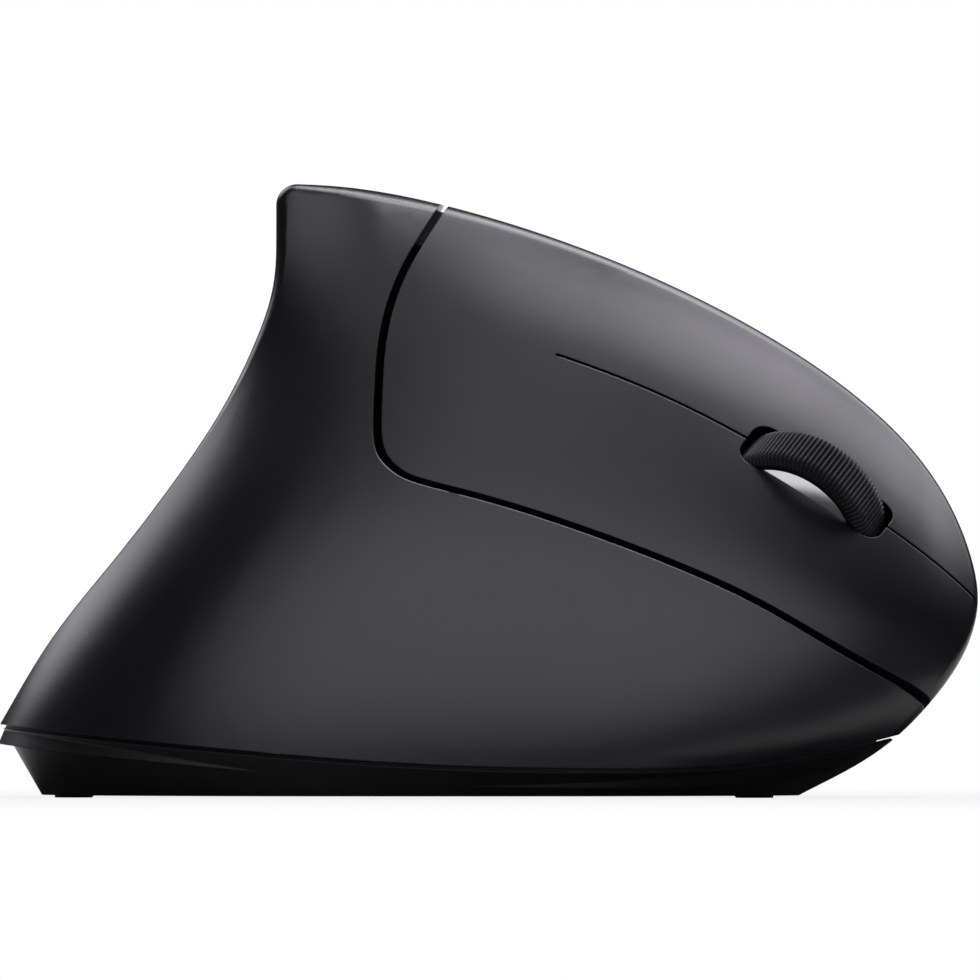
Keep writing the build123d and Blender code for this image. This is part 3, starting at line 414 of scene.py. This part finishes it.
def lacquered_board(name):
    finish = Finish(name, Specular_IOR_Level=0.5, Coat_Weight=0.4, Coat_Roughness=0.15)
    greens = {"Color1": BOARD_GREEN, "Color2": shade(BOARD_GREEN, TRACK_SHARE), "Mortar": BOARD_TRACK}
    tracks = finish.node(
        "ShaderNodeTexBrick", {"Vector": finish.place, **greens, **TRACK_PATTERN}, offset=TRACK_OFFSET
    )
    finish.feed(tracks.outputs["Color"], "Base Color")
    weave = finish.grain(*BOARD_WEAVE)
    finish.roughness(weave[0], *BOARD_ROUGHNESS)
    finish.bumps([(tracks.outputs["Fac"], TRACK_DEPTH, TRACK_STRENGTH), weave])
    return finish.material


def clear_resin(name, colour):
    finish = Finish(name, Transmission_Weight=0.9, IOR=1.49, Specular_IOR_Level=0.5)
    haze = finish.grain(*RESIN_HAZE)
    finish.colours(finish.spread(haze[0], 0.0, 1.0), *(shade(colour, share) for share in RESIN_SHARES))
    finish.roughness(haze[0], *RESIN_ROUGHNESS)
    finish.bumps([haze])
    return finish.material


def finishes():
    return {
        "soft_black": soft_touch("soft_black"),
        "base_black": satin_plastic("base_black", BASE_BLACK, rough=0.36, depth=0.006, edge=0.25),
        "inner_black": satin_plastic("inner_black", INNER_BLACK, rough=0.62, specular=0.15),
        "tyre_rubber": tyre_rubber("tyre_rubber"),
        "hub_black": satin_plastic("hub_black", HUB_BLACK, rough=0.45),
        "bright_metal": dished_metal("bright_metal", BRIGHT_METAL),
        "steel": brushed_metal("steel", STEEL_GREY, rough=0.28, stretch=(1.0, 1.0, 6.0)),
        "encoder_green": satin_plastic("encoder_green", ENCODER_GREEN, rough=0.5),
        "switch_black": satin_plastic("switch_black", CASE_BLACK, rough=0.48),
        "plunger_white": satin_plastic("plunger_white", PALE_PLASTIC, rough=0.42),
        "board_green": lacquered_board("board_green"),
        "header_white": satin_plastic("header_white", PALE_PLASTIC, rough=0.5),
        "thumb_black": satin_plastic("thumb_black", THUMB_BLACK, rough=0.26, depth=0.004, edge=0.2),
        "cell_jacket": brushed_metal("cell_jacket", JACKET_GREY, rough=0.3, stretch=(1.0, 8.0, 1.0)),
        "receiver_black": satin_plastic("receiver_black", HUB_BLACK, rough=0.25, depth=0.004),
        "clear_lens": clear_resin("clear_lens", LENS_CLEAR),
        "led_clear": clear_resin("led_clear", LAMP_CLEAR),
        "wire_jacket": satin_plastic("wire_jacket", WIRE_RED, rough=0.45),
        "glide_black": satin_plastic("glide_black", GLIDE_BLACK, rough=0.38, depth=0.008),
    }


def dress_nodes(made):
    for part in frame["record"]["subparts"]:
        node = frame["nodes"][part["node"]]
        node.data.materials.clear()
        node.data.materials.append(made[part["material_slot"]])


# Node groups for what repeats
class Group(Nodes):
    """A Geometry Nodes tree with named inputs."""

    def __init__(self, name, **sizes):
        super().__init__(bpy.data.node_groups.new(name, "GeometryNodeTree"))
        self.sockets = {}
        self.tree.interface.new_socket("Geometry", in_out="OUTPUT", socket_type="NodeSocketGeometry")
        for key, value in sizes.items():
            if isinstance(value, bpy.types.Material):
                kind = "NodeSocketMaterial"
            else:
                kind = "NodeSocketInt" if isinstance(value, int) else "NodeSocketFloat"
            label = key.replace("_", " ").capitalize()
            socket = self.tree.interface.new_socket(label, in_out="INPUT", socket_type=kind)
            self.sockets[key] = (socket.identifier, value)
        self.source = self.node("NodeGroupInput")
        self.target = self.node("NodeGroupOutput")

    def size(self, key):
        return next(s for s in self.source.outputs if s.identifier == self.sockets[key][0])

    def mesh(self, name, geometry, placed):
        """A piece made of what the tree gives, dressed in its finish."""
        real = self.node("GeometryNodeRealizeInstances", {"Geometry": geometry}).outputs["Geometry"]
        dressed = self.node("GeometryNodeSetMaterial", {"Geometry": real, "Material": self.size("finish")})
        self.tree.links.new(dressed.outputs["Geometry"], self.target.inputs["Geometry"])
        carrier = bpy.data.objects.new(name + "_source", bpy.data.meshes.new(name + "_source"))
        bpy.context.scene.collection.objects.link(carrier)
        modifier = carrier.modifiers.new("nodes", "NODES")
        modifier.node_group = self.tree
        for identifier, value in self.sockets.values():
            modifier[identifier] = value
        bpy.context.view_layer.update()
        evaluated = carrier.evaluated_get(bpy.context.evaluated_depsgraph_get())
        result = bpy.data.meshes.new_from_object(evaluated)
        bpy.data.objects.remove(carrier)
        result.transform(placed)
        result.name = name
        piece = bpy.data.objects.new(name, result)
        bpy.context.scene.collection.objects.link(piece)
        return piece


def wheel_place():
    spin = joint("wheel_spin")
    turn = Vector(spin["axis"]).to_track_quat("Z", "Y").to_matrix().to_4x4()
    return Matrix.Translation(Vector(spin["pos_m"])) @ turn


def ribbed_tyre(finish):
    """The tyre, with ribs like a close coil that fade out over its rounded shoulders."""
    group = Group(
        "ribbed_tyre", ribs=TYRE_RIBS, steps_per_rib=STEPS_PER_RIB, radius=TYRE_RADIUS,
        depth=TYRE_DEPTH, width=TYRE_WIDTH, rounding=TYRE_ROUNDING, rib_height=RIB_HEIGHT,
        profile_steps=PROFILE_STEPS, finish=finish,
    )
    radius, depth, rounding = group.size("radius"), group.size("depth"), group.size("rounding")
    maths = group.arithmetic

    # A rounded rectangle, swept round the wheel.
    middle = maths("SUBTRACT", radius, maths("MULTIPLY", depth, 0.5))
    steps = maths("MULTIPLY", group.size("ribs"), group.size("steps_per_rib"))
    ring = group.node("GeometryNodeCurvePrimitiveCircle", {"Resolution": steps, "Radius": middle})
    section = group.node(
        "GeometryNodeCurvePrimitiveQuadrilateral", {"Width": depth, "Height": group.size("width")}
    )
    corners = {"Radius": rounding, "Count": ROUNDING_POINTS, "Limit Radius": True}
    rounded = group.node(
        "GeometryNodeFilletCurve", {"Curve": section.outputs["Curve"], **corners}, mode="POLY"
    )
    split = group.node(
        "GeometryNodeResampleCurve",
        {"Curve": rounded.outputs["Curve"], "Count": group.size("profile_steps")},
    )
    swept = group.node(
        "GeometryNodeCurveToMesh",
        {"Curve": ring.outputs["Curve"], "Profile Curve": split.outputs["Curve"]},
    )

    # Each rib is half a wave round the axis, and the dips between the ribs go inwards.
    position = group.node("GeometryNodeInputPosition").outputs[0]
    place = group.node("ShaderNodeSeparateXYZ", {"Vector": position}).outputs
    angle = maths("ARCTAN2", place["Y"], place["X"])
    half_turns = maths("MULTIPLY", angle, maths("MULTIPLY", group.size("ribs"), 0.5))
    wave = maths("ABSOLUTE", maths("SINE", half_turns))
    dip = maths("MULTIPLY", maths("SUBTRACT", wave, 1.0), group.size("rib_height"))

    # They are full as far as the middle of the shoulder, and gone at its inner end.
    squares = [maths("MULTIPLY", place[side], place[side]) for side in ("X", "Y")]
    outward = maths("SQRT", maths("ADD", *squares))
    smooth_to = maths("SUBTRACT", radius, rounding)
    ribbed_from = maths("SUBTRACT", radius, maths("MULTIPLY", rounding, 0.5))
    mask = group.spread(outward, 0.0, 1.0, near=smooth_to, far=ribbed_from)
    push = group.scaled(group.node("GeometryNodeInputNormal").outputs[0], maths("MULTIPLY", dip, mask))
    moved = group.node("GeometryNodeSetPosition", {"Geometry": swept.outputs["Mesh"], "Offset": push})
    smooth = group.node("GeometryNodeSetShadeSmooth", {"Geometry": moved.outputs["Geometry"]})
    tyre = group.mesh("tyre_ribbed", smooth.outputs["Geometry"], wheel_place())
    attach(tyre, "wheel")
    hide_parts("wheel_tyre")
    return tyre


# Stage, camera and light
def ovals_away(finish):
    """How far a floor point is from the mouse, counted in half sizes of the oval round it."""
    oval = {"Vector": finish.place, "Location": SHADE_MIDDLE, "Scale": SHADE_HALF_SIZES}
    mapping = finish.node("ShaderNodeMapping", oval, vector_type="TEXTURE")
    return finish.vectors("LENGTH", mapping.outputs["Vector"], result="Value")


def stage_material():
    """White to the eye but for the mouse's shadow; in reflections a painted shade round the mouse, bright beyond
    it; clear from below.
    """
    finish = Finish(
        "floor_white", Base_Color=FLOOR_WHITE, Roughness=FLOOR_ROUGHNESS,
        Specular_IOR_Level=FLOOR_SPECULAR,
    )
    path = finish.node("ShaderNodeLightPath").outputs
    away = ovals_away(finish)
    white = finish.spread(away, SHADE_WHITENESS, 1.0, SHADE_EDGE, WHITE_FROM, "SMOOTHSTEP")
    # Reflections see a painted shade in the oval round the mouse, and a bright floor beyond it.
    bright = finish.spread(away, PAINTED_SHADE_MIRRORED, FLOOR_MIRRORED, SHADE_EDGE, MIRRORED_FROM, "SMOOTHSTEP")
    to_camera = finish.arithmetic("MULTIPLY", path["Is Camera Ray"], white)
    seen = finish.blend(to_camera, finish.shader.outputs[0], finish.glow(1.0))
    both = finish.blend(path["Is Glossy Ray"], seen, finish.glow(bright))
    underside = finish.node("ShaderNodeNewGeometry").outputs["Backfacing"]
    clear = finish.node("ShaderNodeBsdfTransparent").outputs["BSDF"]
    surface = finish.tree.nodes["Material Output"].inputs["Surface"]
    finish.tree.links.new(finish.blend(underside, both, clear), surface)
    return finish.material


def floor():
    half = FLOOR_HALF_WIDTH
    corners = [(-half, -half, 0), (half, -half, 0), (half, half, 0), (-half, half, 0)]
    mesh = bpy.data.meshes.new("floor")
    mesh.from_pydata(corners, [], [(0, 1, 2, 3)])
    mesh.materials.append(stage_material())
    plane = bpy.data.objects.new("floor", mesh)
    bpy.context.scene.collection.objects.link(plane)


def camera():
    """Square on to the finger side and level, framed as the photograph is."""
    data = bpy.data.cameras.new("camera")
    data.sensor_width = SENSOR_WIDTH
    seen = PHOTO_SIZE / PIXELS_PER_MILLIMETRE * MILLIMETRE
    data.lens = SENSOR_WIDTH * CAMERA_DISTANCE / seen
    height = (FLOOR_ROW - PHOTO_CENTRE) / PIXELS_PER_MILLIMETRE * MILLIMETRE
    view = bpy.data.objects.new("camera", data)
    view.location = (CAMERA_DISTANCE, 0, height)
    view.rotation_euler = (math.pi / 2, 0, math.pi / 2)
    bpy.context.scene.collection.objects.link(view)
    bpy.context.scene.camera = view


def studio():
    """The lamps. Polished faces don't mirror them, but mirror the room's glows in their stead."""
    for name, place, size, power in LAMPS:
        data = bpy.data.lights.new(name, "AREA")
        data.shape = "RECTANGLE"
        data.size, data.size_y = size
        data.energy = power
        light = bpy.data.objects.new(name, data)
        light.location = place
        toward = Vector(MOUSE_MIDDLE) - Vector(place)
        light.rotation_euler = toward.to_track_quat("-Z", "Y").to_euler()
        light.visible_glossy = False
        bpy.context.scene.collection.objects.link(light)


def white_room():
    """White to the eye; polished faces see a dark room with a few soft glows."""
    world = bpy.data.worlds.new("white_room")
    world.use_nodes = True
    bpy.context.scene.world = world
    nodes = Nodes(world.node_tree)
    nodes.tree.nodes.clear()
    direction = nodes.node("ShaderNodeTexCoord").outputs["Generated"]
    mirrored = ROOM_DARKNESS
    for aim, near, far, strength in ROOM_GLOWS:
        toward = nodes.vectors("DOT_PRODUCT", direction, Vector(aim).normalized(), result="Value")
        added = nodes.spread(toward, 0.0, strength, near, far, "SMOOTHSTEP")
        mirrored = nodes.arithmetic("ADD", added, mirrored)
    path = nodes.node("ShaderNodeLightPath").outputs
    seen = nodes.arithmetic("MAXIMUM", path["Is Camera Ray"], path["Is Transmission Ray"])
    kind = "ShaderNodeBackground"
    reflected = nodes.glow(mirrored, kind, ROOM_WHITE)
    lit = nodes.blend(path["Is Glossy Ray"], nodes.glow(ROOM_FILL, kind), reflected)
    surface = nodes.blend(seen, lit, nodes.glow(1.0, kind))
    nodes.node("ShaderNodeOutputWorld", {"Surface": surface})


made = finishes()
dress_nodes(made)
ribbed_tyre(made["tyre_rubber"])
floor()
camera()
studio()
white_room()
bpy.context.scene.view_settings.view_transform = "Standard"
